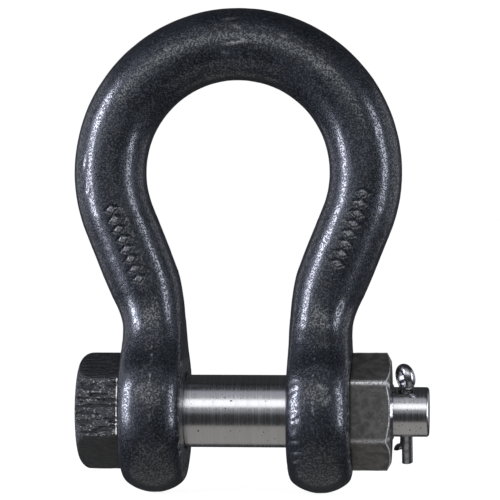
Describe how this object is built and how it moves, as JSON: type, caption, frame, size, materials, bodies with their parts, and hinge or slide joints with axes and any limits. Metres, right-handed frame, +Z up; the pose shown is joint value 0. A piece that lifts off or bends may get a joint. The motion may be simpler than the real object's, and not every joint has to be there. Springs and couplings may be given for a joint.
{
  "type": "bow shackle",
  "caption": "Forged bow shackle with a hexagon-headed bolt, a thin nut and a split pin through the bolt's end.",
  "frame": {"origin": "on the bolt's axis, midway between the two ears", "axes": "+X along the bolt from its head to its nut, +Z up the middle of the bow to its crown, +Y across the bow"},
  "size_m": [0.1177, 0.054, 0.1604],
  "materials": {
    "forged_paint": "blue-black paint over a shot-blasted forging, satin",
    "turned_steel": "turned bright on the shank and tip, black forge scale on the head",
    "nut_steel": "dark oxide with bright worn edges",
    "pin_wire": "smooth drawn half-round wire"
  },
  "bodies": {
    "bow": {"bow": "forged_paint"},
    "bolt": {"bolt": "turned_steel"},
    "nut": {"nut": "nut_steel"},
    "split_pin": {"split_pin": "pin_wire"}
  },
  "joints": [
    {"name": "bolt_turn", "type": "hinge", "parent": "bow", "child": "bolt", "pos_m": [0, 0, 0], "axis": [1, 0, 0], "continuous": true},
    {"name": "nut_turn", "type": "hinge", "parent": "bolt", "child": "nut", "pos_m": [0.0444, 0, 0], "axis": [1, 0, 0], "range_deg": [0, 45]},
    {"name": "split_pin_pull", "type": "slide", "parent": "bolt", "child": "split_pin", "axis": [0, -0.4226, 0.9063], "range_m": [0, 0.035], "deforming": ["split_pin"]}
  ]
}
